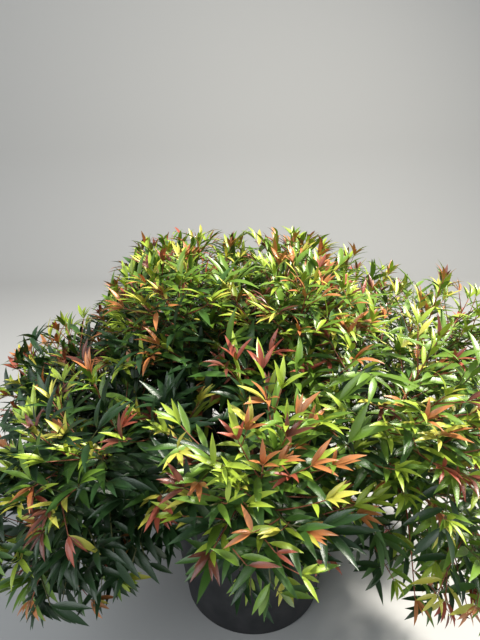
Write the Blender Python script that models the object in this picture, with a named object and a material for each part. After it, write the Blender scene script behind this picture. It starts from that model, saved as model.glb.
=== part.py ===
"""Potted leucothoe keiskei: a low evergreen shrub of arching canes in a round nursery pot.

Metres, +Z up, the pot's underside at z = 0 and its axis on Z.
-Y is the front, the side that the pot is looked at from.
The pot holds the potting mix, and a short stem base stands on the mix.
One bough rises from the stem base to each mass of leaves.
Each mass fills a rounded space of its own, so no two masses touch.
"""

import math
import random

import bmesh
import bpy
from mathutils import Matrix, Vector

# Pot, a tapered ten-litre nursery container
POT_BASE_RADIUS = 0.110
POT_RIM_RADIUS = 0.140
POT_HEIGHT = 0.230
POT_WALL = 0.0025
POT_FLOOR = 0.004
POT_FOOT_BEVEL = 0.004
LIP_HEIGHT = 0.012
LIP_OVERHANG = 0.0035
POT_SIDES = 36
DRAIN_HOLES = 6
DRAIN_RADIUS = 0.006
DRAIN_CIRCLE = 0.080
DRAIN_SIDES = 12

# Potting mix
SOIL_TOP = 0.205
SOIL_EDGE_DROP = 0.004
SOIL_FLAT_RADIUS = 0.055
SOIL_SLOPE_SHARE = 0.80

# Gap between solids that touch
CLEAR = 0.0003

# Stem base, the short woody foot that the canes spring from
BURL_RADIUS = 0.032
BURL_FLARE = 0.006
BURL_FLARE_HEIGHT = 0.008
BURL_SIDES = 20
BURL_RINGS = 6

# Boughs
BOUGH_BASE_RADIUS = 0.0036
BOUGH_TIP_RADIUS = 0.0021
BOUGH_SIDES = 5
BOUGH_PIECES = 6
BOUGH_FOOT_PULL = 0.35
BOUGH_TIP_PULL = 0.30

# Plan of the crown: its spread to the right, left, back and front, against a circle
SPREAD_RIGHT = 1.02
SPREAD_LEFT = 0.98
SPREAD_BACK = 0.95
SPREAD_FRONT = 0.86

# Rings of leaf masses: how many, azimuths, distance from the axis, height and radius.
# A ring stands higher to the right and to the back by its tilts.
# Its boughs leave the stem base at one elevation, and reach their masses with a rise of their own.
RINGS = (
    {
        "name": "top",
        "count": 4,
        "first_azimuth": 45.0,
        "last_azimuth": 315.0,
        "distance": 0.098,
        "height": 0.458,
        "radius": 0.132,
        "tilt_right": -0.004,
        "tilt_back": 0.012,
        "shift": (-0.025, 0.012),
        "bough_elevation": 76.0,
        "way_in_rise": 1.4,
        "way_out_rise": 1.2,
    },
    {
        "name": "shoulder",
        "count": 8,
        "first_azimuth": -90.0,
        "last_azimuth": 225.0,
        "distance": 0.238,
        "height": 0.378,
        "radius": 0.138,
        "tilt_right": 0.030,
        "tilt_back": 0.012,
        "shift": (0.0, 0.0),
        "bough_elevation": 56.0,
        "way_in_rise": 0.75,
        "way_out_rise": 0.15,
    },
    {
        "name": "hem",
        "count": 6,
        "first_azimuth": -31.0,
        "last_azimuth": 211.0,
        "distance": 0.290,
        "height": 0.268,
        "radius": 0.136,
        "tilt_right": -0.008,
        "tilt_back": -0.010,
        "shift": (0.0, 0.0),
        "bough_elevation": 36.0,
        "way_in_rise": -0.15,
        "way_out_rise": -0.75,
    },
)

# Growth inside one mass: a bough stops short of the middle, and a stem runs on through it
SEED = 27
ENTRY_DEPTH = 0.80
STEM_REACH = 0.40
STEM_PULL = 0.36
STEM_SIDES = 4
STEM_PIECES = 3

# Twigs, from the foot of the stem to its tip
TWIGS = 6
TWIG_TRIES = 12
TWIG_SIDES = 3
TWIG_BASE_RADIUS = 0.0019
TWIG_TIP_RADIUS = 0.0014
TWIG_SHORTEST = 0.020
TWIG_SHARE = 0.60
TWIG_ARCH = 0.08
TWIG_FIRST_AT = 0.10
TWIG_FOOT_ANGLE = math.radians(86.0)
TWIG_TIP_ANGLE = math.radians(25.0)

# Leaves, from the foot of a twig to its tip
LEAVES_PER_TWIG = 4
LEAF_TRIES = 26
LEAF_LENGTH = 0.104
LEAF_SHORTEST = 0.050
LEAF_LEAST_SHARE = 0.80
LEAF_WIDTH_SHARE = 0.25
LEAF_WIDEST_AT = 0.38
LEAF_THICKNESS = 0.0018
LEAF_ARCH = 0.12
LEAF_DROOP = 0.30
LEAF_ROOT = 0.0012
LEAF_FACE_UP = 0.5
LEAF_FREE_FROM = 0.3
LEAF_FIRST_AT = 0.28
LEAF_LAST_AT = 0.98
LEAF_FOOT_ANGLE = math.radians(68.0)
LEAF_TIP_ANGLE = math.radians(50.0)
END_LEAF_ANGLE = math.radians(22.0)

# Room that twigs and leaves keep, and how far they wander round from their even turns
SPACING = 0.040
CELL_MARGIN = 0.0008
LIMB_MARGIN = 0.0015
ROOM_STEPS = 18
WANDER = 0.9
GOLDEN_ANGLE = math.radians(137.5)
CROWN_HEART = Vector((0.0, 0.0, 0.30))
STEEP = 0.9

UP = Vector((0.0, 0.0, 1.0))


def clear_scene():
    for old in list(bpy.data.objects):
        bpy.data.objects.remove(old, do_unlink=True)


def material(name, colour, roughness, metallic=0.0):
    made = bpy.data.materials.new(name)
    made.use_nodes = True
    shader = made.node_tree.nodes["Principled BSDF"]
    shader.inputs["Base Color"].default_value = (*colour, 1.0)
    shader.inputs["Roughness"].default_value = roughness
    shader.inputs["Metallic"].default_value = metallic
    return made


def add_object(name, points, faces, finish):
    mesh = bpy.data.meshes.new(name)
    mesh.from_pydata([tuple(point) for point in points], [], faces)
    mesh.materials.append(finish)
    made = bpy.data.objects.new(name, mesh)
    bpy.context.scene.collection.objects.link(made)
    return made


def face_outwards(made):
    work = bmesh.new()
    work.from_mesh(made.data)
    bmesh.ops.recalc_face_normals(work, faces=work.faces)
    work.to_mesh(made.data)
    work.free()


def smooth(made, angle):
    made.data.shade_smooth()
    made.data.set_sharp_from_angle(angle=math.radians(angle))


def turned(name, profile, sides, finish):
    """A solid turned about Z from a profile of (radius, height) whose ends lie on the axis."""
    work = bmesh.new()
    start = [work.verts.new((radius, 0.0, height)) for radius, height in profile]
    edges = [work.edges.new(pair) for pair in zip(start, start[1:])]
    bmesh.ops.spin(
        work,
        geom=start + edges,
        cent=(0.0, 0.0, 0.0),
        axis=(0.0, 0.0, 1.0),
        angle=math.tau,
        steps=sides,
        use_merge=True,
    )
    bmesh.ops.remove_doubles(work, verts=work.verts, dist=1e-6)
    bmesh.ops.recalc_face_normals(work, faces=work.faces)
    mesh = bpy.data.meshes.new(name)
    work.to_mesh(mesh)
    work.free()
    mesh.materials.append(finish)
    made = bpy.data.objects.new(name, mesh)
    bpy.context.scene.collection.objects.link(made)
    return made


def wall_radius(height):
    """The pot's outer radius at a height."""
    return POT_BASE_RADIUS + (POT_RIM_RADIUS - POT_BASE_RADIUS) * height / POT_HEIGHT


def make_pot(finish):
    lip_foot = POT_HEIGHT - LIP_HEIGHT
    inner_floor = wall_radius(POT_FLOOR) - POT_WALL
    profile = [
        (0.0, 0.0),
        (POT_BASE_RADIUS - POT_FOOT_BEVEL, 0.0),
        (wall_radius(POT_FOOT_BEVEL), POT_FOOT_BEVEL),
        (wall_radius(lip_foot), lip_foot),
        (wall_radius(lip_foot) + LIP_OVERHANG, lip_foot + LIP_OVERHANG / 2),
        (POT_RIM_RADIUS + LIP_OVERHANG, POT_HEIGHT - LIP_OVERHANG / 2),
        (POT_RIM_RADIUS + LIP_OVERHANG / 2, POT_HEIGHT),
        (POT_RIM_RADIUS - POT_WALL, POT_HEIGHT),
        (inner_floor, POT_FLOOR),
        (0.0, POT_FLOOR),
    ]
    pot = turned("pot", profile, POT_SIDES, finish)
    drains = bmesh.new()
    for number in range(DRAIN_HOLES):
        angle = math.tau * number / DRAIN_HOLES
        place = Matrix.Translation(
            (DRAIN_CIRCLE * math.cos(angle), DRAIN_CIRCLE * math.sin(angle), POT_FLOOR / 2)
        )
        bmesh.ops.create_cone(
            drains,
            cap_ends=True,
            segments=DRAIN_SIDES,
            radius1=DRAIN_RADIUS,
            radius2=DRAIN_RADIUS,
            depth=POT_FLOOR * 3,
            matrix=place,
        )
    mesh = bpy.data.meshes.new("drain_holes")
    drains.to_mesh(mesh)
    drains.free()
    cutter = bpy.data.objects.new("drain_holes", mesh)
    bpy.context.scene.collection.objects.link(cutter)
    cutter.hide_render = True
    cutter.display_type = "WIRE"
    cut = pot.modifiers.new("drain_holes", "BOOLEAN")
    cut.object = cutter
    cut.operation = "DIFFERENCE"
    smooth(pot, 30)
    return pot


def make_soil(finish):
    low = POT_FLOOR + CLEAR
    edge_top = SOIL_TOP - SOIL_EDGE_DROP
    fit = POT_WALL + CLEAR
    profile = [
        (0.0, low),
        (wall_radius(low) - fit, low),
        (wall_radius(edge_top) - fit, edge_top),
        (wall_radius(edge_top) * SOIL_SLOPE_SHARE, SOIL_TOP - SOIL_EDGE_DROP / 3),
        (SOIL_FLAT_RADIUS, SOIL_TOP),
        (0.0, SOIL_TOP),
    ]
    soil = turned("potting_mix", profile, POT_SIDES, finish)
    smooth(soil, 30)
    return soil


def make_stem_base(finish):
    foot = SOIL_TOP + CLEAR
    profile = [(0.0, foot), (BURL_RADIUS + BURL_FLARE, foot)]
    first = math.asin(BURL_FLARE_HEIGHT / BURL_RADIUS)
    for ring in range(BURL_RINGS + 1):
        angle = first + (math.pi / 2 - first) * ring / BURL_RINGS
        radius = BURL_RADIUS * math.cos(angle) if ring < BURL_RINGS else 0.0
        profile.append((radius, foot + BURL_RADIUS * math.sin(angle)))
    base = turned("stem_base", profile, BURL_SIDES, finish)
    smooth(base, 40)
    return base


def across_to(along):
    """A unit vector square to a direction."""
    helper = UP if abs(along.z) < STEEP else Vector((1.0, 0.0, 0.0))
    return along.cross(helper).normalized()


def bezier(points, share):
    """A point on the Bezier curve of four points."""
    a, b, c, d = points
    rest = 1.0 - share
    return (
        a * rest**3
        + b * (3 * rest**2 * share)
        + c * (3 * rest * share**2)
        + d * share**3
    )


def curve_points(points, pieces):
    return [bezier(points, step / pieces) for step in range(pieces + 1)]


def limb_mesh(path, radii, sides, first_way=None, last_way=None):
    """Points and faces of a tapering limb along a path. Its flat ends face the two ways, if given."""
    points = []
    side = None
    ways = {0: first_way, len(path) - 1: last_way}
    for step, centre in enumerate(path):
        ahead = path[min(step + 1, len(path) - 1)]
        behind = path[max(step - 1, 0)]
        along = ways.get(step) or (ahead - behind).normalized()
        if side is None:
            side = across_to(along)
        side = (side - along * side.dot(along)).normalized()
        other = along.cross(side)
        share = step / (len(path) - 1)
        radius = radii[0] + (radii[1] - radii[0]) * share
        for corner in range(sides):
            angle = math.tau * corner / sides
            points.append(centre + (side * math.cos(angle) + other * math.sin(angle)) * radius)
    faces = [tuple(reversed(range(sides)))]
    for step in range(len(path) - 1):
        low = step * sides
        for corner in range(sides):
            after = (corner + 1) % sides
            faces.append((low + corner, low + after, low + sides + after, low + sides + corner))
    last = (len(path) - 1) * sides
    faces.append(tuple(last + corner for corner in range(sides)))
    return points, faces


def leaf_mesh(root, along, face, length):
    """Points and faces of a blade: root, tip, two edges, and the two sides of the midrib."""
    across = along.cross(face).normalized()
    half_width = length * LEAF_WIDTH_SHARE / 2
    middle = root + along * (length * LEAF_WIDEST_AT) + face * (length * LEAF_ARCH)
    points = [
        root - along * LEAF_ROOT,
        root + along * length,
        middle + across * half_width,
        middle - across * half_width,
        middle + face * (LEAF_THICKNESS / 2),
        middle - face * (LEAF_THICKNESS / 2),
    ]
    faces = [(0, 4, 2), (0, 3, 4), (0, 2, 5), (0, 5, 3), (1, 2, 4), (1, 4, 3), (1, 5, 2), (1, 3, 5)]
    return points, faces


def direction(azimuth, elevation):
    """The unit vector of an azimuth and an elevation in degrees."""
    turn = math.radians(azimuth)
    rise = math.radians(elevation)
    return Vector((math.cos(turn) * math.cos(rise), math.sin(turn) * math.cos(rise), math.sin(rise)))


def spread(azimuth):
    """How far the crown spreads at an azimuth, against a circle."""
    turn = math.radians(azimuth)
    sideways = (SPREAD_RIGHT + SPREAD_LEFT) / 2
    depthways = (SPREAD_BACK + SPREAD_FRONT) / 2
    return (
        (sideways + depthways) / 2
        + (sideways - depthways) / 2 * math.cos(2 * turn)
        + (SPREAD_RIGHT - SPREAD_LEFT) / 2 * math.cos(turn)
        + (SPREAD_BACK - SPREAD_FRONT) / 2 * math.sin(turn)
    )


def plan_masses():
    """The rounded space of each mass of leaves, and the bough that leads to it."""
    masses = []
    for ring in RINGS:
        step = (ring["last_azimuth"] - ring["first_azimuth"]) / (ring["count"] - 1)
        for number in range(ring["count"]):
            azimuth = ring["first_azimuth"] + step * number
            outward = direction(azimuth, 0.0)
            height = ring["height"] + ring["tilt_right"] * outward.x + ring["tilt_back"] * outward.y
            centre = outward * (ring["distance"] * spread(azimuth)) + UP * height
            centre += Vector((*ring["shift"], 0.0))
            way_in = (outward + UP * ring["way_in_rise"]).normalized()
            masses.append(
                {
                    "name": f"{ring['name']}_{number + 1}",
                    "ring": ring["name"],
                    "centre": centre,
                    "radius": ring["radius"],
                    "entry": centre - way_in * (ring["radius"] * ENTRY_DEPTH),
                    "way_in": way_in,
                    "way_out": (outward + UP * ring["way_out_rise"]).normalized(),
                    "azimuth": azimuth,
                    "elevation": ring["bough_elevation"],
                }
            )
    return masses


def bough_path(mass):
    """The centre line of the bough from the stem base to the mass."""
    leave = direction(mass["azimuth"], mass["elevation"])
    start = UP * (SOIL_TOP + CLEAR) + leave * (BURL_RADIUS + CLEAR)
    end = mass["entry"]
    span = (end - start).length
    foot_handle = start + leave * (span * BOUGH_FOOT_PULL)
    tip_handle = end - mass["way_in"] * (span * BOUGH_TIP_PULL)
    return curve_points([start, foot_handle, tip_handle, end], BOUGH_PIECES)


def outside_by(point, mass, masses):
    """How far a point lies outside the space of a mass, negative when it is inside."""
    worst = (point - mass["centre"]).length - mass["radius"]
    for other in masses:
        if other is mass:
            continue
        gap = other["centre"] - mass["centre"]
        middle = (gap.length_squared + mass["radius"] ** 2 - other["radius"] ** 2) / (2 * gap.length)
        worst = max(worst, (point - mass["centre"]).dot(gap.normalized()) - middle)
    return worst + CELL_MARGIN


def room(start, along, mass, masses):
    """The way from a point to the edge of the space of its mass."""
    near, far = 0.0, 2 * mass["radius"]
    for _ in range(ROOM_STEPS):
        half = (near + far) / 2
        if outside_by(start + along * half, mass, masses) < 0:
            near = half
        else:
            far = half
    return near


def segment_distance(a, b, c, d):
    """The least distance between the segments a to b and c to d."""
    first, second, between = b - a, d - c, a - c
    aa, bb, ab = first.length_squared, second.length_squared, first.dot(second)
    ar, br = first.dot(between), second.dot(between)
    spare = aa * bb - ab * ab
    share = min(max((ab * br - bb * ar) / spare, 0.0), 1.0) if spare > 1e-12 else 0.0
    other = min(max((ab * share + br) / bb, 0.0), 1.0)
    share = min(max((ab * other - ar) / aa, 0.0), 1.0)
    return (a + first * share - c - second * other).length


def clear_of_limbs(path, half_width, limbs):
    for a, b in zip(path, path[1:]):
        for line in limbs:
            for c, d in zip(line, line[1:]):
                if segment_distance(a, b, c, d) < half_width + BOUGH_BASE_RADIUS + LIMB_MARGIN:
                    return False
    return True


def turned_from(along, spin, angle):
    """A direction at an angle to another one, at a turn about it."""
    side = across_to(along)
    other = along.cross(side)
    return (
        along * math.cos(angle) + (side * math.cos(spin) + other * math.sin(spin)) * math.sin(angle)
    ).normalized()


def grow_leaf(root, twig_along, spin, angle, mass, masses, limbs, grown, rng):
    """One leaf from a twig, the best spaced of a few tries that keep to the space, or none."""
    best, best_score = None, 0.0
    for _ in range(LEAF_TRIES):
        turn = spin + rng.uniform(-WANDER, WANDER)
        along = turned_from(twig_along, turn, angle * rng.uniform(0.6, 1.25))
        along = (along - UP * (LEAF_DROOP * rng.uniform(0.2, 1.0))).normalized()
        length = LEAF_LENGTH * rng.uniform(LEAF_LEAST_SHARE, 1.0)
        length = min(length, room(root, along, mass, masses))
        if length < LEAF_SHORTEST:
            continue
        lean = (root - CROWN_HEART).normalized() + UP * LEAF_FACE_UP
        face = (lean - along * lean.dot(along)).normalized()
        points, faces = leaf_mesh(root, along, face, length)
        if any(outside_by(point, mass, masses) > 0 for point in points):
            continue
        if not clear_of_limbs([root, root + along * length], length * LEAF_WIDTH_SHARE / 2, limbs):
            continue
        blade = (root + along * (length * LEAF_FREE_FROM), root + along * length)
        spacing = min([segment_distance(*blade, *other) for other in grown], default=SPACING)
        score = min(spacing, SPACING) * (length / LEAF_LENGTH) ** 2
        if score > best_score:
            best, best_score = (blade, (points, faces)), score
    return best


def grow_twig(stem, share, number, mass, masses, limbs, grown, rng):
    """The line of one twig from the stem, the roomiest of a few tries, or none."""
    place = share * STEM_PIECES
    step = min(int(place), STEM_PIECES - 1)
    foot = stem[step].lerp(stem[step + 1], place - step)
    stem_along = (stem[step + 1] - stem[step]).normalized()
    angle = TWIG_FOOT_ANGLE + (TWIG_TIP_ANGLE - TWIG_FOOT_ANGLE) * share
    best, best_score = None, 0.0
    for _ in range(TWIG_TRIES):
        turn = GOLDEN_ANGLE * number + rng.uniform(-WANDER, WANDER)
        along = turned_from(stem_along, turn, angle)
        length = room(foot, along, mass, masses) * TWIG_SHARE
        if length < TWIG_SHORTEST:
            continue
        tip = foot + along * length
        bend = foot.lerp(tip, 0.5) + UP * (length * TWIG_ARCH)
        if not clear_of_limbs([foot, bend, tip], TWIG_BASE_RADIUS, limbs):
            continue
        spacing = min([segment_distance(bend, tip, *other) for other in grown], default=SPACING)
        score = min(spacing, SPACING) * min(length, mass["radius"] * TWIG_SHARE)
        if score > best_score:
            best, best_score = (foot, bend, tip), score
    return best


def stem_path(mass):
    """The centre line of the stem inside a mass, from the bough's tip through the middle."""
    start = mass["entry"] + mass["way_in"] * CLEAR
    end = mass["centre"] + mass["way_out"] * (mass["radius"] * STEM_REACH)
    pull = (end - start).length * STEM_PULL
    return curve_points(
        [start, start + mass["way_in"] * pull, end - mass["way_out"] * pull, end], STEM_PIECES
    )


def grow_mass(mass, masses, limbs):
    """The stem of a mass with its twigs and leaves, as a list of loose solids."""
    rng = random.Random(f"{SEED} {mass['name']}")
    stem = stem_path(mass)
    solids = [limb_mesh(stem, (BOUGH_TIP_RADIUS, TWIG_BASE_RADIUS), STEM_SIDES, mass["way_in"])]
    grown = []
    for number in range(TWIGS):
        share = TWIG_FIRST_AT + (1.0 - TWIG_FIRST_AT) * number / TWIGS
        twig = grow_twig(stem, share, number, mass, masses, limbs, grown, rng)
        if twig is None:
            continue
        foot, bend, tip = twig
        grown.append((bend, tip))
        solids.append(limb_mesh(list(twig), (TWIG_BASE_RADIUS, TWIG_TIP_RADIUS), TWIG_SIDES))
        for leaf in range(LEAVES_PER_TWIG):
            step = leaf / (LEAVES_PER_TWIG - 1)
            way = 2 * (LEAF_FIRST_AT + (LEAF_LAST_AT - LEAF_FIRST_AT) * step)
            near, far = (foot, bend) if way < 1 else (bend, tip)
            root = near.lerp(far, way % 1)
            angle = LEAF_FOOT_ANGLE + (LEAF_TIP_ANGLE - LEAF_FOOT_ANGLE) * step
            if leaf == LEAVES_PER_TWIG - 1:
                angle = END_LEAF_ANGLE
            spin = GOLDEN_ANGLE * number + math.pi * leaf
            along = (far - near).normalized()
            made = grow_leaf(root, along, spin, angle, mass, masses, limbs, grown, rng)
            if made:
                grown.append(made[0])
                solids.append(made[1])
    return solids


def fuse(name, solids, finish):
    """One solid from many that overlap, by a Boolean union on a collection."""
    first = add_object(name, *solids[0], finish)
    face_outwards(first)
    others = bpy.data.collections.new(f"{name}_parts")
    for number, (points, faces) in enumerate(solids[1:]):
        made = add_object(f"{name}_part_{number}", points, faces, finish)
        face_outwards(made)
        bpy.context.scene.collection.objects.unlink(made)
        others.objects.link(made)
    bpy.context.scene.collection.children.link(others)
    union = first.modifiers.new("fuse", "BOOLEAN")
    union.operation = "UNION"
    union.operand_type = "COLLECTION"
    union.collection = others
    for solver in ("EXACT", "MANIFOLD"):
        union.solver = solver
        bpy.context.view_layer.update()
        graph = bpy.context.evaluated_depsgraph_get()
        fused = bpy.data.meshes.new_from_object(first.evaluated_get(graph))
        if keep_outer_shell(fused):
            break
    first.modifiers.clear()
    first.data = fused
    for part in list(others.objects):
        bpy.data.objects.remove(part, do_unlink=True)
    bpy.data.collections.remove(others)
    return first


def keep_outer_shell(mesh):
    """Fills sealed hollows and drops loose scraps: only the largest shell stays. Says if it is closed."""
    work = bmesh.new()
    work.from_mesh(mesh)
    left = set(work.faces)
    shells = []
    while left:
        shell, open_faces = set(), [left.pop()]
        while open_faces:
            face = open_faces.pop()
            shell.add(face)
            for edge in face.edges:
                for near in edge.link_faces:
                    if near in left:
                        left.remove(near)
                        open_faces.append(near)
        shells.append(shell)
    shells.sort(key=len)
    for shell in shells[:-1]:
        bmesh.ops.delete(work, geom=list(shell), context="FACES")
    closed = all(edge.is_manifold for edge in work.edges)
    work.to_mesh(mesh)
    work.free()
    return closed


def main():
    clear_scene()
    plastic = material("pot_plastic", (0.030, 0.032, 0.036), 0.55)
    mix = material("potting_mix", (0.055, 0.036, 0.022), 0.95)
    bark = material("bark", (0.150, 0.098, 0.062), 0.80)
    leaf_colours = {
        "top": material("young_leaves", (0.330, 0.300, 0.045), 0.42),
        "shoulder": material("leaves", (0.110, 0.210, 0.035), 0.38),
        "hem": material("old_leaves", (0.045, 0.125, 0.030), 0.36),
    }
    make_pot(plastic)
    make_soil(mix)
    make_stem_base(bark)
    masses = plan_masses()
    limbs = [bough_path(mass) for mass in masses]
    for mass, path in zip(masses, limbs):
        name = f"bough_{mass['name']}"
        leave = direction(mass["azimuth"], mass["elevation"])
        radii = (BOUGH_BASE_RADIUS, BOUGH_TIP_RADIUS)
        solid = limb_mesh(path, radii, BOUGH_SIDES, leave, mass["way_in"])
        bough = add_object(name, *solid, bark)
        face_outwards(bough)
        smooth(bough, 70)
    for mass in masses:
        finish = leaf_colours[mass["ring"]]
        solids = grow_mass(mass, masses, limbs)
        fuse(f"leaves_{mass['name']}", solids, finish)


main()
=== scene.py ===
"""Looks of the potted leucothoe keiskei: canes, twigs and leaves grown round the solids.

Metres, +Z up, the pot's underside at z = 0 and its axis on Z. -Y is the front.
The canes and the stem of each mass follow the same sizes and the same rule as the solids.
Finer shoots carry alternate leaves, and end in a tuft of younger ones.
"""

import math
import random

import bpy
import numpy as np
from mathutils import Matrix, Vector


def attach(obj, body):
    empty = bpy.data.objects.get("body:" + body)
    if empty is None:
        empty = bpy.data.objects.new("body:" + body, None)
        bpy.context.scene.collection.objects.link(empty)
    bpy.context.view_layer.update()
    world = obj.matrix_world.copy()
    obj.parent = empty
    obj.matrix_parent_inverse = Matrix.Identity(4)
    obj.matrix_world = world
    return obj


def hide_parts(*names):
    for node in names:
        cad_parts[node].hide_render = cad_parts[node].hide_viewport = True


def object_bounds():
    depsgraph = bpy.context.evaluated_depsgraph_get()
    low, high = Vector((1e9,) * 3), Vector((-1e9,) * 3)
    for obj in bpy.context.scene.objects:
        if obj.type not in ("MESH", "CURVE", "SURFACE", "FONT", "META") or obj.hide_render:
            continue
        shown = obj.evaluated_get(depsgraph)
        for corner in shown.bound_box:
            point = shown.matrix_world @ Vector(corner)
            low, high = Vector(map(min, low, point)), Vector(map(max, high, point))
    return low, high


SEED = 27

# Pot and potting mix, as in the solids
POT_BASE_RADIUS = 0.110
POT_RIM_RADIUS = 0.140
POT_HEIGHT = 0.230
POT_WALL = 0.0025
POT_FLOOR = 0.004
POT_FOOT_BEVEL = 0.004
LIP_HEIGHT = 0.012
LIP_OVERHANG = 0.0035
SOIL_TOP = 0.205
SOIL_EDGE_DROP = 0.004
CLEAR = 0.0003

# Finer pot: a rounded foot, a groove under the lip and a rounded rim
POT_SIDES = 144
FOOT_ROUND_SHARE = 0.3
LIP_GROOVE_DEPTH = 0.0002
LIP_GROOVE_HEIGHT = 0.0008
LIP_ROUND = 0.0010
POT_SHARP_ANGLE = 35

# The rim's outer edge as steps in and down from its corner, in lip rounds
RIM_STEPS = ((0.0, 2.0), (0.4, 0.5), (1.4, 0.0))

# Finer mix, with bark chips lying on it
SOIL_SIDES = 120
SOIL_RINGS = 40
SOIL_RELIEF = 0.0022
SOIL_LEVEL_RIM = 0.985
SOIL_DOME_POWER = 3
CHIPS = 420
CHIP_LENGTH = 0.009
CHIP_SHAPE = (0.5, 0.28, 0.12)
CHIP_SIZES = (0.3, 1.0)
CHIP_CORNERS = (0.7, 1.0)
CHIP_TILT = 0.5
CHIP_TURN = 3
CHIP_CIRCLE = 0.93
CHIP_PLACES = (0.1, 1.0)
CHIP_SHARP_ANGLE = 30

# Stem base and canes, as in the solids
BURL_RADIUS = 0.032
BURL_FLARE = 0.006
BOUGH_BASE_RADIUS = 0.0036
BOUGH_TIP_RADIUS = 0.0021
BOUGH_FOOT_PULL = 0.35
BOUGH_TIP_PULL = 0.30

# Finer stem base and canes
BURL_SIDES = 56
BURL_RINGS = 26
BURL_RELIEF = 0.0016
BURL_FLARE_POWER = 4
BURL_RIDGES = 9
BURL_RIDGE_LEAN = 160
BURL_KNOBS = 0.5
CANE_SIDES = 10
CANE_PIECES = 40
CANE_RELIEF = 0.10

# Plan of the crown, as in the solids
SPREAD_RIGHT = 1.02
SPREAD_LEFT = 0.98
SPREAD_BACK = 0.95
SPREAD_FRONT = 0.86
RINGS = (
    {
        "name": "top",
        "count": 4,
        "first_azimuth": 45.0,
        "last_azimuth": 315.0,
        "distance": 0.098,
        "height": 0.458,
        "radius": 0.132,
        "tilt_right": -0.004,
        "tilt_back": 0.012,
        "shift": (-0.025, 0.012),
        "bough_elevation": 76.0,
        "way_in_rise": 1.4,
        "way_out_rise": 1.2,
    },
    {
        "name": "shoulder",
        "count": 8,
        "first_azimuth": -90.0,
        "last_azimuth": 225.0,
        "distance": 0.238,
        "height": 0.378,
        "radius": 0.138,
        "tilt_right": 0.030,
        "tilt_back": 0.012,
        "shift": (0.0, 0.0),
        "bough_elevation": 56.0,
        "way_in_rise": 0.75,
        "way_out_rise": 0.15,
    },
    {
        "name": "hem",
        "count": 6,
        "first_azimuth": -31.0,
        "last_azimuth": 211.0,
        "distance": 0.290,
        "height": 0.268,
        "radius": 0.136,
        "tilt_right": -0.008,
        "tilt_back": -0.010,
        "shift": (0.0, 0.0),
        "bough_elevation": 36.0,
        "way_in_rise": -0.15,
        "way_out_rise": -0.75,
    },
)
ENTRY_DEPTH = 0.80
STEM_REACH = 0.40
STEM_PULL = 0.36
TWIG_BASE_RADIUS = 0.0019
TWIG_TIP_RADIUS = 0.0014
TWIG_FOOT_ANGLE = math.radians(86.0)
TWIG_TIP_ANGLE = math.radians(25.0)
GOLDEN_ANGLE = math.radians(137.5)
CROWN_HEART = np.array((0.0, 0.0, 0.30))
STEEP = 0.9

# Shoots along the stem of a mass
SHOOTS = 24
SHOOT_FIRST_AT = 0.04
SHOOT_WANDER = 0.3
SHOOT_SHARE = (0.70, 0.98)
SHOOT_PIECES = 8
SHOOT_ARCH = 0.04
SHOOT_ARCHES = (0.4, 1.5)
SHOOT_RISE = 0.24
SHOOT_HANG = -0.14
SHOOT_RISES = (0.3, 1.6)
HANGS_BELOW = -0.30
SHOOT_CUT = 0.94
SHOOT_LEAST = 0.012
TIP_KEEPS_IN = 0.014

# Side shoots along each shoot
SIDE_SHOOTS = 4
SIDE_FIRST_AT = 0.30
SIDE_LAST_AT = 0.80
SIDE_WANDER = 0.7
SIDE_ANGLES = (38.0, 62.0)
SIDE_SHARE = (0.50, 0.92)
SIDE_LONGEST = 0.085

# The wood: each kind of shoot with its twig's radius and its sides, thinned at foot and tip
STEM_SIDES = 6
SHOOT_WOOD = {"shoot": (TWIG_BASE_RADIUS, 5), "side": (TWIG_TIP_RADIUS, 4)}
SHOOT_TAPER = (0.62, 0.34)

# Leaves along a shoot, in two ranks, then a tuft
LEAF_STEP = 0.0094
LEAF_FROM = 0.16
LEAF_TO = 0.97
NEW_GROWTH_FROM = 0.60
LEAF_FOOT_ANGLE = 64.0
LEAF_TIP_ANGLE = 32.0
LEAF_WANDER = 12.0
OLD_LEAF_LIFT = (-0.34, 0.22)
NEW_LEAF_LIFT = (0.0, 0.60)
NEW_LEAF_SHORTER = 0.22
TUFT_LEAVES = 5
TUFT_ANGLES = (10.0, 44.0)
TUFT_LIFT = (0.05, 0.60)
LEAF_LENGTH = (0.034, 0.054)
YOUNG_LENGTH = (0.020, 0.034)

# One leaf: folded along the midrib, recurved, with a long drawn-out tip
LEAF_STATIONS = (0.0, 0.06, 0.18, 0.36, 0.56, 0.76, 0.91)
LEAF_WIDTH_SHARE = 0.195
LEAF_RISE_POWER = 0.75
LEAF_FALL_POWER = 1.15
WIDTH_SAMPLES = 200
PETIOLE_SHARE = 0.07
PETIOLE_WIDTH = 0.07
LEAF_FOLD = math.radians(20.0)
LEAF_BEND = (0.20, 0.95)
LEAF_FACE_OUT = 0.55

# Where leaves are left out: past the crown's reach, past the solids' box, or in the pot
REACH_PAST = 0.012
BOX_MARGIN = 0.006
POT_MARGIN = 0.005
MIDDLE_AND_TIP = np.array((0.5, 1.0))
MOST_LEAVES_IN_PIECE = 7000

# How the colours are dealt out: painted light and shade by the sun and the depth that a spray's tip
# stands at, lighter greens on the sunny outside and deeper greens in the shaded inside
SUN_WAY = np.array((0.62, 0.20, 0.76))
CROWN_HALF_SIZE = np.array((0.40, 0.35, 0.28))
SUN_WEIGHT = 0.34
DEPTH_WEIGHT = 0.80
LIGHT_OFFSET = 0.42
LIGHT_SCATTER = 0.16
# Body greens by the level of painted light: each green once the level passes its step, the deepest
# green as painted shade below them all
BODY_GREENS_BY_PAINTED_LIGHT = (("mid_green", 0.16), ("fresh_green", 0.52), ("lime", 0.84))
YOUNG_ABOVE = 0.12
YOUNG_SHARE = 0.80
FRESH_TIP_ABOVE = 0.2
NEAR_TIP_COLOURS = ("lime", "lime", "fresh_green", "fresh_green", "yellow")
TIP_COLOURS = ("orange", "lime", "coral", "lime", "bronze", "yellow", "orange", "lime")
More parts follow.
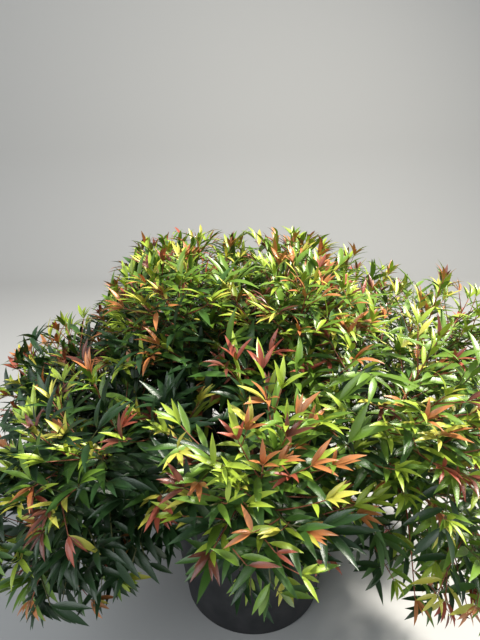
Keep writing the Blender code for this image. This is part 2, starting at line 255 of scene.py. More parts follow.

# Plain leaf colours, from the shaded inside to the youngest tips. The greens from deep green to lime
# are partly the leaves' own range and partly painted light: deep green paints the shade inside the
# crown, lime paints sunlight on the outside. Lime, yellow, orange, coral and bronze are also the
# young growth's own colours.
LEAF_COLOURS = {
    "deep_green": (0.018, 0.050, 0.014),
    "mid_green": (0.050, 0.120, 0.020),
    "fresh_green": (0.135, 0.245, 0.026),
    "lime": (0.320, 0.430, 0.042),
    "yellow": (0.500, 0.480, 0.075),
    "orange": (0.480, 0.185, 0.060),
    "coral": (0.350, 0.085, 0.048),
    "bronze": (0.160, 0.050, 0.030),
}
LEAF_ROUGHNESS = 0.34
LEAF_SPECULAR = 0.55
LEAF_RELIEF = {"scale": 900.0, "depth": 0.0004, "detail": 4.0}
RELIEF_STRENGTH = 0.6

# Finishes that run between two colours with the noise of their relief
TONES_BETWEEN = (0.35, 0.65)
WOOD_RELIEF = {"scale": 300.0, "depth": 0.0004, "detail": 4.0}
FINISHES = {
    "bark_brown": {
        "plain": (0.14, 0.09, 0.055),
        "roughness": 0.82,
        "relief": {"scale": 260.0, "depth": 0.0008, "detail": 8.0},
        "dark": (0.070, 0.042, 0.026),
        "light": (0.200, 0.135, 0.090),
    },
    "stem_brown": {
        "plain": (0.15, 0.12, 0.06),
        "roughness": 0.55,
        "relief": WOOD_RELIEF,
        "dark": (0.07, 0.05, 0.03),
        "light": (0.15, 0.12, 0.06),
    },
    "shoot_green": {
        "plain": (0.13, 0.13, 0.04),
        "roughness": 0.55,
        "relief": WOOD_RELIEF,
        "dark": (0.06, 0.07, 0.02),
        "light": (0.13, 0.13, 0.04),
    },
    "shoot_red": {
        "plain": (0.34, 0.11, 0.05),
        "roughness": 0.55,
        "relief": WOOD_RELIEF,
        "dark": (0.20, 0.05, 0.03),
        "light": (0.34, 0.11, 0.05),
    },
    "charcoal_plastic": {
        "plain": (0.03, 0.032, 0.036),
        "roughness": 0.62,
        "relief": {"scale": 38.0, "depth": 0.0003, "detail": 9.0},
        "dark": (0.012, 0.013, 0.015),
        "light": (0.034, 0.034, 0.036),
        "between": (0.38, 0.72),
    },
    "potting_mix": {
        "plain": (0.05, 0.033, 0.021),
        "roughness": 0.95,
        "relief": {"scale": 240.0, "depth": 0.0016, "detail": 9.0},
        "dark": (0.020, 0.013, 0.009),
        "light": (0.095, 0.062, 0.040),
    },
    "bark_chips": {
        "plain": (0.13, 0.08, 0.045),
        "roughness": 0.9,
        "relief": {"scale": 420.0, "depth": 0.0006, "detail": 8.0},
        "dark": (0.060, 0.035, 0.020),
        "light": (0.190, 0.120, 0.070),
    },
}

# Stage: a pale floor that curves up into a backdrop
FLOOR_FRONT = -3.0
FLOOR_BACK = 2.2
FLOOR_HALF_WIDTH = 4.0
FLOOR_BEND_RADIUS = 0.8
FLOOR_BEND_STEPS = 16
WALL_TOP = 3.2
FLOOR_COLOUR = (0.46, 0.46, 0.45)
FLOOR_ROUGHNESS = 0.85

# Light: a bright key from the right and above, and a wide soft fill from the left front
LIT_PLACE = (0.0, 0.0, 0.40)
KEY = {"place": (1.5, 0.10, 2.5), "size": 0.45, "power": 165.0, "colour": (1.0, 0.95, 0.86)}
FILL = {"place": (-1.6, -1.8, 2.2), "size": 2.6, "power": 52.0, "colour": (0.94, 0.97, 1.0)}
SKY_COLOUR = (0.80, 0.87, 0.96)
SKY_STRENGTH = 0.42

# Camera: the photograph's view, with its focal length and height in pixels
PHOTO_HEIGHT = 640
FOCAL_PIXELS = 482
SENSOR = 36.0
CAMERA_PLACE = (-0.0165, -0.6611, 0.6864)
CAMERA_PITCH = 18.0
CAMERA_ROLL = -0.69

UP = np.array((0.0, 0.0, 1.0))


def unit(vectors):
    """The vectors at a length of one."""
    return vectors / np.linalg.norm(vectors, axis=-1, keepdims=True)


def direction(azimuth, elevation):
    """The unit vector of an azimuth and an elevation in degrees."""
    turn = math.radians(azimuth)
    rise = math.radians(elevation)
    return np.array(
        (math.cos(turn) * math.cos(rise), math.sin(turn) * math.cos(rise), math.sin(rise))
    )


def spread(azimuth):
    """How far the crown spreads at an azimuth, against a circle."""
    turn = math.radians(azimuth)
    sideways = (SPREAD_RIGHT + SPREAD_LEFT) / 2
    depthways = (SPREAD_BACK + SPREAD_FRONT) / 2
    return (
        (sideways + depthways) / 2
        + (sideways - depthways) / 2 * math.cos(2 * turn)
        + (SPREAD_RIGHT - SPREAD_LEFT) / 2 * math.cos(turn)
        + (SPREAD_BACK - SPREAD_FRONT) / 2 * math.sin(turn)
    )


def plan_masses():
    """The rounded space of each mass of leaves, and the bough that leads to it."""
    masses = []
    for ring in RINGS:
        step = (ring["last_azimuth"] - ring["first_azimuth"]) / (ring["count"] - 1)
        for number in range(ring["count"]):
            azimuth = ring["first_azimuth"] + step * number
            outward = direction(azimuth, 0.0)
            tilt = ring["tilt_right"] * outward[0] + ring["tilt_back"] * outward[1]
            centre = outward * (ring["distance"] * spread(azimuth)) + UP * (ring["height"] + tilt)
            centre = centre + np.array((*ring["shift"], 0.0))
            way_in = unit(outward + UP * ring["way_in_rise"])
            masses.append(
                {
                    "name": f"{ring['name']}_{number + 1}",
                    "centre": centre,
                    "radius": ring["radius"],
                    "entry": centre - way_in * (ring["radius"] * ENTRY_DEPTH),
                    "way_in": way_in,
                    "way_out": unit(outward + UP * ring["way_out_rise"]),
                    "azimuth": azimuth,
                    "elevation": ring["bough_elevation"],
                }
            )
    return masses


def curve_points(points, pieces):
    """Points along the Bezier curve of four points."""
    a, b, c, d = points
    share = np.linspace(0.0, 1.0, pieces + 1)[:, None]
    rest = 1.0 - share
    return a * rest**3 + b * (3 * rest**2 * share) + c * (3 * rest * share**2) + d * share**3


def bough_path(mass):
    """The centre line of the cane from the stem base to the mass."""
    leave = direction(mass["azimuth"], mass["elevation"])
    start = UP * (SOIL_TOP + CLEAR) + leave * (BURL_RADIUS + CLEAR)
    end = mass["entry"]
    span = np.linalg.norm(end - start)
    foot_handle = start + leave * (span * BOUGH_FOOT_PULL)
    tip_handle = end - mass["way_in"] * (span * BOUGH_TIP_PULL)
    return curve_points([start, foot_handle, tip_handle, end], CANE_PIECES)


def stem_path(mass):
    """The centre line of the stem inside a mass, from the cane's tip through the middle."""
    start = mass["entry"]
    end = mass["centre"] + mass["way_out"] * (mass["radius"] * STEM_REACH)
    pull = np.linalg.norm(end - start) * STEM_PULL
    handles = [start + mass["way_in"] * pull, end - mass["way_out"] * pull]
    return curve_points([start, *handles, end], SHOOT_PIECES)


def frame_of(along):
    """Two unit vectors square to a direction and to each other."""
    helper = UP if abs(along[2]) < STEEP else np.array((1.0, 0.0, 0.0))
    side = unit(np.cross(along, helper))
    return side, np.cross(along, side)


def turned_from(along, spin, angle):
    """A direction at an angle to another one, at a turn about it."""
    side, other = frame_of(along)
    sideways = side * math.cos(spin) + other * math.sin(spin)
    return unit(along * math.cos(angle) + sideways * math.sin(angle))


def room(point, along, mass):
    """The way from a point to the edge of the round space of its mass."""
    off = point - mass["centre"]
    ahead = off @ along
    spare = ahead * ahead - off @ off + mass["radius"] ** 2
    return max(math.sqrt(spare) - ahead, 0.0) if spare > 0 else 0.0


def mesh_object(name, points, triangles, finish):
    """An object from arrays of points and triangles, shaded smooth."""
    mesh = bpy.data.meshes.new(name)
    mesh.vertices.add(len(points))
    mesh.vertices.foreach_set("co", np.asarray(points, np.float32).ravel())
    mesh.loops.add(len(triangles) * 3)
    mesh.loops.foreach_set("vertex_index", np.asarray(triangles, np.int32).ravel())
    mesh.polygons.add(len(triangles))
    mesh.polygons.foreach_set("loop_start", np.arange(0, len(triangles) * 3, 3, dtype=np.int32))
    mesh.update(calc_edges=True)
    mesh.validate()
    mesh.shade_smooth()
    mesh.materials.append(finish)
    made = bpy.data.objects.new(name, mesh)
    bpy.context.scene.collection.objects.link(made)
    return made


def stand_for(piece, slot, *nodes):
    """The piece takes the place of these solids, and rides with them. The slot is not used."""
    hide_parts(*nodes)
    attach(piece, "root")


def joined(parts):
    """One pair of arrays from many pairs of points and triangles."""
    points, triangles, count = [], [], 0
    for part_points, part_triangles in parts:
        points.append(part_points)
        triangles.append(part_triangles + count)
        count += len(part_points)
    return np.concatenate(points), np.concatenate(triangles)


def grid_triangles(rows, columns, closed):
    """Triangles of a grid of points, row by row, whose columns may close into a ring."""
    row, column = np.meshgrid(np.arange(rows - 1), np.arange(columns if closed else columns - 1))
    row, column = row.ravel(), column.ravel()
    after = (column + 1) % columns
    a, b = row * columns + column, row * columns + after
    c, d = a + columns, b + columns
    return np.concatenate([np.stack([a, b, d], 1), np.stack([a, d, c], 1)])


def tube(path, radii, sides, relief=None):
    """A tapering tube along a path, with closed ends. relief scales each point's radius."""
    count = len(path)
    along = unit(np.gradient(path, axis=0))
    side = np.empty_like(path)
    side[0] = frame_of(along[0])[0]
    for step in range(1, count):
        side[step] = unit(side[step - 1] - along[step] * (side[step - 1] @ along[step]))
    other = np.cross(along, side)
    angle = np.arange(sides) * (math.tau / sides)
    radius = np.linspace(radii[0], radii[1], count)[:, None] * np.ones(sides)
    if relief is not None:
        radius = radius * (1.0 + relief)
    ring = side[:, None] * np.cos(angle)[:, None] + other[:, None] * np.sin(angle)[:, None]
    points = (path[:, None] + ring * radius[..., None]).reshape(-1, 3)
    triangles = grid_triangles(count, sides, True)
    tip = len(points)
    last = tip - sides
    ends = np.arange(sides)
    cap = np.stack([last + ends, last + (ends + 1) % sides, np.full(sides, tip)], 1)
    foot = np.stack([(ends + 1) % sides, ends, np.full(sides, tip + 1)], 1)
    return np.concatenate([points, path[-1:], path[:1]]), np.concatenate([triangles, cap, foot])


def turned(profile, sides):
    """Points and triangles of a profile of (radius, height) turned about Z, its ends on the axis."""
    profile = np.array(profile)
    angle = np.arange(sides) * (math.tau / sides)
    ring = np.stack([np.cos(angle), np.sin(angle)], 1)
    flat = profile[1:-1, 0][:, None, None] * ring
    height = np.broadcast_to(profile[1:-1, 1][:, None, None], (*flat.shape[:2], 1))
    points = np.concatenate([flat, height], 2).reshape(-1, 3)
    triangles = grid_triangles(len(profile) - 2, sides, True)
    first, last = len(points), len(points) + 1
    ends = np.arange(sides)
    after = (ends + 1) % sides
    top = len(points) - sides
    foot = np.stack([after, ends, np.full(sides, first)], 1)
    lid = np.stack([top + ends, top + after, np.full(sides, last)], 1)
    poles = [(0.0, 0.0, profile[0, 1]), (0.0, 0.0, profile[-1, 1])]
    return np.concatenate([points, poles]), np.concatenate([triangles, foot, lid])


def blade_widths():
    """Half the width of a leaf at each station, against its greatest half width."""
    fine = np.linspace(0.0, 1.0, WIDTH_SAMPLES)
    peak = np.max(fine**LEAF_RISE_POWER * (1 - fine) ** LEAF_FALL_POWER)
    station = np.array(LEAF_STATIONS)
    blade = np.clip((station - PETIOLE_SHARE) / (1 - PETIOLE_SHARE), 0.0, 1.0)
    width = blade**LEAF_RISE_POWER * (1 - blade) ** LEAF_FALL_POWER / peak
    return np.maximum(width, PETIOLE_WIDTH)


def midribs(root, along, face, length, bend, shares):
    """Points of many recurved midribs at some shares of their length, and the turn at each."""
    turn = bend[:, None] * shares
    forward = length[:, None] * np.sin(turn) / bend[:, None]
    down = length[:, None] * (1 - np.cos(turn)) / bend[:, None]
    line = root[:, None] + along[:, None] * forward[..., None] - face[:, None] * down[..., None]
    return line, turn


def blades(root, along, face, length, bend):
    """Points and triangles of many leaves at once: rows of edge, midrib and edge, then the tip."""
    across = unit(np.cross(along, face))
    face = np.cross(across, along)
    line, turn = midribs(root, along, face, length, bend, np.array((*LEAF_STATIONS, 1.0)))
    lift = face[:, None] * np.cos(turn)[..., None] + along[:, None] * np.sin(turn)[..., None]
    half = length[:, None] * (LEAF_WIDTH_SHARE / 2) * blade_widths()
    out = across[:, None] * (half * math.cos(LEAF_FOLD))[..., None]
    rise = lift[:, :-1] * (half * math.sin(LEAF_FOLD))[..., None]
    rows = np.stack([line[:, :-1] + out + rise, line[:, :-1], line[:, :-1] - out + rise], 2)
    count, stations = len(root), len(LEAF_STATIONS)
    points = np.concatenate([rows.reshape(count, stations * 3, 3), line[:, -1:]], 1)
    tip = stations * 3
    one = grid_triangles(stations, 3, False)
    one = np.concatenate([one, [(tip - 3, tip - 2, tip), (tip - 2, tip - 1, tip)]])
    each = np.arange(count)[:, None, None] * (tip + 1)
    return points.reshape(-1, 3), (one[None] + each).reshape(-1, 3)


def shoot_path(foot, along, length, mass, rng):
    """An arching shoot whose tip turns up, or hangs where it points down, cut back to its space."""
    share = np.linspace(0.0, 1.0, SHOOT_PIECES + 1)[:, None]
    arch = SHOOT_ARCH * rng.uniform(*SHOOT_ARCHES)
    rise = (SHOOT_HANG if along[2] < HANGS_BELOW else SHOOT_RISE) * rng.uniform(*SHOOT_RISES)
    shape = along * share + UP * (arch * 4 * share * (1 - share) + rise * share**2)
    reach = mass["radius"] - TIP_KEEPS_IN
    start = foot - mass["centre"]
    while np.linalg.norm(start + shape[-1] * length) > reach and length > SHOOT_LEAST:
        length *= SHOOT_CUT
    return foot + shape * length


def along_path(path, share):
    """The point and the direction at a share of a path."""
    place = share * (len(path) - 1)
    step = min(int(place), len(path) - 2)
    ahead = path[step + 1] - path[step]
    return path[step] + ahead * (place - step), unit(ahead)


def grow_leaves(path, young, rng):
    """The leaves of one shoot: alternate in two ranks, then a tuft at the tip."""
    span = np.linalg.norm(np.diff(path, axis=0), axis=1).sum()
    count = max(int(span * (1 - LEAF_FROM) / LEAF_STEP), 2)
    leaves = []
    for number in range(count):
        share = LEAF_FROM + (LEAF_TO - LEAF_FROM) * number / (count - 1)
        root, way = along_path(path, share)
        side = frame_of(way)[0] * (1 if number % 2 else -1)
        new = share > NEW_GROWTH_FROM
        angle = LEAF_FOOT_ANGLE + (LEAF_TIP_ANGLE - LEAF_FOOT_ANGLE) * share
        angle = math.radians(angle + rng.uniform(-LEAF_WANDER, LEAF_WANDER))
        along = way * math.cos(angle) + side * math.sin(angle)
        along = unit(along + UP * rng.uniform(*(NEW_LEAF_LIFT if new else OLD_LEAF_LIFT)))
        length = rng.uniform(*LEAF_LENGTH) * (1.0 - NEW_LEAF_SHORTER * (new and young))
        leaves.append((root, along, length, "near" if new else "body"))
    root, way = along_path(path, 1.0)
    sizes = YOUNG_LENGTH if young else LEAF_LENGTH
    for number in range(TUFT_LEAVES):
        angle = math.radians(rng.uniform(*TUFT_ANGLES))
        along = turned_from(way, GOLDEN_ANGLE * number, angle)
        along = unit(along + UP * rng.uniform(*TUFT_LIFT))
        leaves.append((root, along, rng.uniform(*sizes), "tip"))
    return leaves


def spray_colours(tip, rng):
    """The colours of a spray's parts: painted light and shade by how much sun reaches its tip, and
    whether it is young.
    """
    off = tip - CROWN_HEART
    sun = unit(off) @ SUN_WAY / np.linalg.norm(SUN_WAY)
    depth = np.linalg.norm(off / CROWN_HALF_SIZE)
    # The level: painted light from the sun's side and the tip's depth in the crown, with a random
    # scatter; it also stands for the exposure that brings young growth
    exposure_and_painted_light = SUN_WEIGHT * sun + DEPTH_WEIGHT * depth - LIGHT_OFFSET + rng.gauss(0.0, LIGHT_SCATTER)
    # Body colour as painted light and shade: the deepest green as painted shade, stepping up to lime
    # as painted sunlight
    body = "deep_green"
    for colour, least in BODY_GREENS_BY_PAINTED_LIGHT:
        if exposure_and_painted_light > least:
            body = colour
    if exposure_and_painted_light > YOUNG_ABOVE and rng.random() < YOUNG_SHARE:
        near = rng.choice(NEAR_TIP_COLOURS)
        return {"body": body, "near": near, "tip": rng.choice(TIP_COLOURS)}, True
    # Tufts of older sprays: fresh green where the level is high, partly fresh growth and partly
    # painted light, else the body's colour
    tuft = "fresh_green" if exposure_and_painted_light > FRESH_TIP_ABOVE else body
    return {"body": body, "near": body, "tip": tuft}, False


def grow_side_shoots(path, mass, rng):
    """The sprays of the side shoots along one shoot."""
    sprays = []
    for number in range(SIDE_SHOOTS):
        place = SIDE_FIRST_AT + (SIDE_LAST_AT - SIDE_FIRST_AT) * number / (SIDE_SHOOTS - 1)
        foot, way = along_path(path, place)
        spin = math.pi * number + rng.uniform(-SIDE_WANDER, SIDE_WANDER)
        along = turned_from(way, spin, math.radians(rng.uniform(*SIDE_ANGLES)))
        reach = min(room(foot, along, mass) + REACH_PAST, SIDE_LONGEST)
        side_path = shoot_path(foot, along, reach * rng.uniform(*SIDE_SHARE), mass, rng)
        sprays.append(("side", side_path, *spray_colours(side_path[-1], rng)))
    return sprays


def grow_mass(mass):
    """The stem of a mass, its sprays, and the leaves of every spray with their colours."""
    rng = random.Random(f"{SEED} {mass['name']} fine")
    stem = stem_path(mass)
    sprays = []
    for number in range(SHOOTS):
        share = SHOOT_FIRST_AT + (1.0 - SHOOT_FIRST_AT) * number / SHOOTS
        foot, way = along_path(stem, share)
        angle = TWIG_FOOT_ANGLE + (TWIG_TIP_ANGLE - TWIG_FOOT_ANGLE) * share
        spin = GOLDEN_ANGLE * number + rng.uniform(-SHOOT_WANDER, SHOOT_WANDER)
        along = turned_from(way, spin, angle)
        length = (room(foot, along, mass) + REACH_PAST) * rng.uniform(*SHOOT_SHARE)
        path = shoot_path(foot, along, length, mass, rng)
        sprays.append(("shoot", path, *spray_colours(path[-1], rng)))
        sprays.extend(grow_side_shoots(path, mass, rng))
    leaves = []
    for _, path, colours, young in sprays:
        for root, along, length, part in grow_leaves(path, young, rng):
            leaves.append((root, along, length, rng.uniform(*LEAF_BEND), colours[part]))
    return stem, sprays, leaves


def inside_crown(middles, tips, masses, box):
    """Which leaves stay within the crown's reach and the solids' box, and clear of the pot."""
    centres = np.array([mass["centre"] for mass in masses])
    radii = np.array([mass["radius"] for mass in masses])
    past = (np.linalg.norm(tips[:, None] - centres, axis=2) - radii).min(1)
    low, high = np.array(box[0]) - BOX_MARGIN, np.array(box[1]) + BOX_MARGIN
    inside = (past < REACH_PAST) & (tips > low).all(1) & (tips < high).all(1)
    for points in (middles, tips):
        low_down = points[:, 2] < POT_HEIGHT + POT_MARGIN
        from_axis = np.linalg.norm(points[:, :2], axis=1)
        inside &= ~(low_down & (from_axis < POT_RIM_RADIUS + LIP_OVERHANG + POT_MARGIN))
    return inside


def leaf_arrays(leaves, masses, box):
    """Arrays of the kept leaves: root, direction, face, length, bend and colour."""
    root, along, length, bend, colour = (np.array(column) for column in zip(*leaves))
    lean = unit(root - CROWN_HEART) * LEAF_FACE_OUT + UP
    face = unit(lean - along * (lean * along).sum(1, keepdims=True))
    places, _ = midribs(root, along, face, length, bend, MIDDLE_AND_TIP)
    inside = inside_crown(places[:, 0], places[:, 1], masses, box)
    return [column[inside] for column in (root, along, face, length, bend, colour)]


def plain_material(name, colour, roughness):
    """A new material, its shader and its node tree."""
    made = bpy.data.materials.new(name)
    made.use_nodes = True
    tree = made.node_tree
    shader = tree.nodes["Principled BSDF"]
    shader.inputs["Base Color"].default_value = (*colour, 1.0)
    shader.inputs["Roughness"].default_value = roughness
    return made, shader, tree


def add_relief(tree, shader, relief):
    """Fine relief from a noise, and the noise itself."""
    place = tree.nodes.new("ShaderNodeTexCoord")
    noise = tree.nodes.new("ShaderNodeTexNoise")
    noise.inputs["Scale"].default_value = relief["scale"]
    noise.inputs["Detail"].default_value = relief["detail"]
    bump = tree.nodes.new("ShaderNodeBump")
    bump.inputs["Distance"].default_value = relief["depth"]
    bump.inputs["Strength"].default_value = RELIEF_STRENGTH
    tree.links.new(place.outputs["Object"], noise.inputs["Vector"])
    tree.links.new(noise.outputs["Fac"], bump.inputs["Height"])
    tree.links.new(bump.outputs["Normal"], shader.inputs["Normal"])
    return noise


def two_tone(name):
    """A finish from the list, whose base colour runs between two colours with its relief."""
    finish = FINISHES[name]
    made, shader, tree = plain_material(name, finish["plain"], finish["roughness"])
    noise = add_relief(tree, shader, finish["relief"])
    ramp = tree.nodes.new("ShaderNodeValToRGB")
    between = finish.get("between", TONES_BETWEEN)
    tones = zip(ramp.color_ramp.elements, between, (finish["dark"], finish["light"]))
    for element, position, colour in tones:
        element.position = position
        element.color = (*colour, 1.0)
    tree.links.new(noise.outputs["Fac"], ramp.inputs["Fac"])
    tree.links.new(ramp.outputs["Color"], shader.inputs["Base Color"])
    return made


def leaf_material(name, colour):
    """Leathery and glossy, one plain colour, with a faint relief."""
    made, shader, tree = plain_material(f"leaf_{name}", colour, LEAF_ROUGHNESS)
    shader.inputs["Specular IOR Level"].default_value = LEAF_SPECULAR
    add_relief(tree, shader, LEAF_RELIEF)
    return made


def wall_radius(height):
    """The pot's outer radius at a height."""
    return POT_BASE_RADIUS + (POT_RIM_RADIUS - POT_BASE_RADIUS) * height / POT_HEIGHT


def make_pot():
    """The tapered pot with a rounded foot, a softened lip and a thin wall."""
    lip_foot = POT_HEIGHT - LIP_HEIGHT
    lip_wall = wall_radius(lip_foot)
    rim = POT_RIM_RADIUS + LIP_OVERHANG
    foot_round = POT_FOOT_BEVEL * FOOT_ROUND_SHARE
    profile = [
        (0.0, 0.0),
        (POT_BASE_RADIUS - POT_FOOT_BEVEL, 0.0),
        (POT_BASE_RADIUS - foot_round, foot_round),
        (wall_radius(POT_FOOT_BEVEL), POT_FOOT_BEVEL),
        (lip_wall - LIP_GROOVE_DEPTH, lip_foot - LIP_GROOVE_HEIGHT),
        (lip_wall + LIP_OVERHANG / 2, lip_foot),
        (lip_wall + LIP_OVERHANG, lip_foot + LIP_OVERHANG / 2),
        *[(rim - LIP_ROUND * inward, POT_HEIGHT - LIP_ROUND * down) for inward, down in RIM_STEPS],
        (POT_RIM_RADIUS - POT_WALL + LIP_ROUND, POT_HEIGHT),
        (POT_RIM_RADIUS - POT_WALL, POT_HEIGHT - LIP_ROUND),
        (wall_radius(POT_FLOOR) - POT_WALL, POT_FLOOR),
        (0.0, POT_FLOOR),
    ]
    pot = mesh_object("nursery_pot", *turned(profile, POT_SIDES), two_tone("charcoal_plastic"))
    pot.data.set_sharp_from_angle(angle=math.radians(POT_SHARP_ANGLE))
    stand_for(pot, "pot_plastic", "pot")


def soil_height(share):
    """The height of the mix at a share of the way from the axis to the pot's wall."""
    return SOIL_TOP - SOIL_EDGE_DROP * share**SOIL_DOME_POWER


def make_soil(outer, rng):
    """The potting mix with an uneven top."""
    edge_top = SOIL_TOP - SOIL_EDGE_DROP
    low = POT_FLOOR + CLEAR
    profile = [(0.0, low), (wall_radius(low) - POT_WALL - CLEAR, low), (outer, edge_top)]
    for ring in range(1, SOIL_RINGS):
        share = 1.0 - ring / SOIL_RINGS
        profile.append((outer * share, soil_height(share)))
    profile.append((0.0, SOIL_TOP))
    points, triangles = turned(profile, SOIL_SIDES)
    from_axis = np.hypot(points[:, 0], points[:, 1])
    top = (points[:, 2] > edge_top - CLEAR) & (from_axis < outer * SOIL_LEVEL_RIM)
    points[top, 2] -= rng.uniform(0.0, SOIL_RELIEF, top.sum())
    soil = mesh_object("potting_mix_top", points, triangles, two_tone("potting_mix"))
    stand_for(soil, "potting_mix", "potting_mix")


def make_chips(outer, rng):
    """Coarse bark chips lying on the mix."""
    cube = np.array([(x, y, z) for x in (-1, 1) for y in (-1, 1) for z in (-1, 1)], float)
    sides = ((0, 1, 3, 2), (4, 6, 7, 5), (0, 4, 5, 1), (2, 3, 7, 6), (0, 2, 6, 4), (1, 5, 7, 3))
    halves = [(a, b, c) for a, b, c, _ in sides] + [(a, c, d) for a, _, c, d in sides]
    parts = []
    for _ in range(CHIPS):
        distance = outer * CHIP_CIRCLE * math.sqrt(rng.uniform(*CHIP_PLACES))
        angle = rng.uniform(0.0, math.tau)
        size = CHIP_LENGTH * rng.uniform(*CHIP_SIZES) * np.array(CHIP_SHAPE)
        shape = cube * size * rng.uniform(*CHIP_CORNERS, cube.shape)
        tip_over = Matrix.Rotation(rng.uniform(-CHIP_TILT, CHIP_TILT), 3, "X")
        tilt = Matrix.Rotation(angle * CHIP_TURN, 3, "Z") @ tip_over
        height = soil_height(distance / outer)
        centre = np.array((distance * math.cos(angle), distance * math.sin(angle), height))
        parts.append((shape @ np.array(tilt).T + centre, np.array(halves)))
    chips = mesh_object("bark_chips", *joined(parts), two_tone("bark_chips"))
    chips.data.set_sharp_from_angle(angle=math.radians(CHIP_SHARP_ANGLE))
    stand_for(chips, "potting_mix", "potting_mix")


def make_mix():
    """What fills the pot. The mix and its chips share one run of random draws."""
    rng = np.random.default_rng(SEED)
    outer = wall_radius(SOIL_TOP - SOIL_EDGE_DROP) - POT_WALL - CLEAR
    make_soil(outer, rng)
    make_chips(outer, rng)


def make_stem_base(bark):
    """The woody foot that the canes spring from, ridged and knobbly."""
    rng = np.random.default_rng(SEED + 1)
    foot = SOIL_TOP + CLEAR
    profile = [(0.0, foot), (BURL_RADIUS + BURL_FLARE, foot)]
    for ring in range(1, BURL_RINGS):
        angle = math.pi / 2 * ring / BURL_RINGS
        flare = BURL_FLARE * (1 - ring / BURL_RINGS) ** BURL_FLARE_POWER
        radius = BURL_RADIUS * math.cos(angle) + flare
        profile.append((radius, foot + BURL_RADIUS * math.sin(angle)))
    profile.append((0.0, foot + BURL_RADIUS))
    points, triangles = turned(profile, BURL_SIDES)
    turn = np.arctan2(points[:, 1], points[:, 0])
    ridges = np.sin(turn * BURL_RIDGES + points[:, 2] * BURL_RIDGE_LEAN) * BURL_KNOBS
    ridges = ridges + rng.uniform(-BURL_KNOBS, BURL_KNOBS, len(points))
    shrink = 1.0 - BURL_RELIEF / BURL_RADIUS * (1.0 + ridges) / 2
    points[:, :2] *= shrink[:, None]
    stand_for(mesh_object("stem_base_bark", points, triangles, bark), "bark", "stem_base")


def make_canes(masses, bark):
    """All the canes with the relief of their bark, joined."""
    rng = np.random.default_rng(SEED + 2)
    radii = (BOUGH_BASE_RADIUS, BOUGH_TIP_RADIUS)
    parts = []
    for mass in masses:
        relief = rng.uniform(-CANE_RELIEF, CANE_RELIEF, (CANE_PIECES + 1, CANE_SIDES))
        parts.append(tube(bough_path(mass), radii, CANE_SIDES, relief))
    canes = mesh_object("canes", *joined(parts), bark)
    stand_for(canes, "bark", *[f"bough_{mass['name']}" for mass in masses])


def shoot_tube(kind, path):
    """The wood of one shoot or side shoot."""
    radius, sides = SHOOT_WOOD[kind]
    return tube(path, [radius * share for share in SHOOT_TAPER], sides)


def make_wood(grown, nodes):
    """The stems inside the masses, the older shoots and the young reddish ones, each joined."""
    stems, old_shoots, young_shoots = [], [], []
    for stem, sprays, _ in grown:
        stems.append(tube(stem, (BOUGH_TIP_RADIUS, TWIG_BASE_RADIUS), STEM_SIDES))
        for kind, path, _, young in sprays:
            (young_shoots if young else old_shoots).append(shoot_tube(kind, path))
    woods = (
        ("stems_in_crown", stems, "stem_brown"),
        ("old_shoots", old_shoots, "shoot_green"),
        ("young_shoots", young_shoots, "shoot_red"),
    )
    for name, parts, finish in woods:
        stand_for(mesh_object(name, *joined(parts), two_tone(finish)), "bark", *nodes)


def make_leaves(grown, masses, box, nodes):
    """The leaves of every mass, joined by colour into pieces of a limited size."""
    leaves = [leaf for _, _, mass_leaves in grown for leaf in mass_leaves]
    *shapes, colour = leaf_arrays(leaves, masses, box)
    for name, tint in LEAF_COLOURS.items():
        finish = leaf_material(name, tint)
        mine = np.flatnonzero(colour == name)
        for number, first in enumerate(range(0, len(mine), MOST_LEAVES_IN_PIECE)):
            some = mine[first : first + MOST_LEAVES_IN_PIECE]
            shape = blades(*[column[some] for column in shapes])
            piece = mesh_object(f"leaves_{name}_{number + 1}", *shape, finish)
            stand_for(piece, "foliage", *nodes)


def make_crown(masses, box):
    """Everything that grows inside the masses of leaves."""
    grown = [grow_mass(mass) for mass in masses]
    nodes = [f"leaves_{mass['name']}" for mass in masses]
    make_wood(grown, nodes)
    make_leaves(grown, masses, box, nodes)


def make_stage():
    """A pale floor that curves up into a backdrop."""
    line = [(FLOOR_FRONT, 0.0)]
    for step in range(FLOOR_BEND_STEPS + 1):
        angle = math.pi / 2 * step / FLOOR_BEND_STEPS
        back = FLOOR_BACK + FLOOR_BEND_RADIUS * math.sin(angle)
        line.append((back, FLOOR_BEND_RADIUS * (1 - math.cos(angle))))
    line.append((FLOOR_BACK + FLOOR_BEND_RADIUS, WALL_TOP))
    sides = (-FLOOR_HALF_WIDTH, FLOOR_HALF_WIDTH)
    points = np.array([(x, y, z) for y, z in line for x in sides])
    finish, _, _ = plain_material("pale_floor", FLOOR_COLOUR, FLOOR_ROUGHNESS)
    mesh_object("floor", points, grid_triangles(len(line), 2, False), finish)


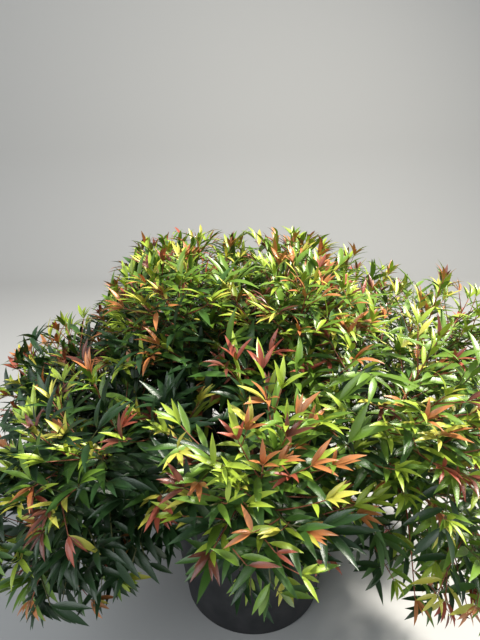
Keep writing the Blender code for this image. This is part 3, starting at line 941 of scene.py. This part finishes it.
def add_light(name, lamp):
    """A round area light aimed at the crown."""
    light = bpy.data.lights.new(name, "AREA")
    light.shape = "DISK"
    light.size = lamp["size"]
    light.energy = lamp["power"]
    light.color = lamp["colour"]
    made = bpy.data.objects.new(name, light)
    made.location = lamp["place"]
    aim = Vector(LIT_PLACE) - Vector(lamp["place"])
    made.rotation_euler = aim.to_track_quat("-Z", "Y").to_euler()
    bpy.context.scene.collection.objects.link(made)


def make_lights():
    """The key, the fill and a pale sky."""
    add_light("key", KEY)
    add_light("fill", FILL)
    world = bpy.data.worlds.new("studio")
    world.use_nodes = True
    sky = world.node_tree.nodes["Background"]
    sky.inputs["Color"].default_value = (*SKY_COLOUR, 1.0)
    sky.inputs["Strength"].default_value = SKY_STRENGTH
    bpy.context.scene.world = world
    bpy.context.scene.view_settings.view_transform = "Standard"


def make_camera():
    """The photograph's camera."""
    data = bpy.data.cameras.new("photo_view")
    data.sensor_width = SENSOR
    data.lens = SENSOR * FOCAL_PIXELS / PHOTO_HEIGHT
    camera = bpy.data.objects.new("photo_view", data)
    camera.matrix_world = (
        Matrix.Translation(CAMERA_PLACE)
        @ Matrix.Rotation(math.radians(90.0 - CAMERA_PITCH), 4, "X")
        @ Matrix.Rotation(math.radians(CAMERA_ROLL), 4, "Z")
    )
    bpy.context.scene.collection.objects.link(camera)
    bpy.context.scene.camera = camera


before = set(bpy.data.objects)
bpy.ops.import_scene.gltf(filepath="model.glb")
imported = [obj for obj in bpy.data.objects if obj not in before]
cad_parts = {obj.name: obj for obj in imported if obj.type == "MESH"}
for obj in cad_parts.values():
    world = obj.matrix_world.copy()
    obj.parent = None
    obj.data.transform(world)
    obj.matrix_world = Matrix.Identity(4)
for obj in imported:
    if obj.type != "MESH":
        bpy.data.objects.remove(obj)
cad_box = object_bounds()
make_camera()
masses = plan_masses()
bark = two_tone("bark_brown")
make_pot()
make_mix()
make_stem_base(bark)
make_canes(masses, bark)
make_crown(masses, cad_box)
make_stage()
make_lights()
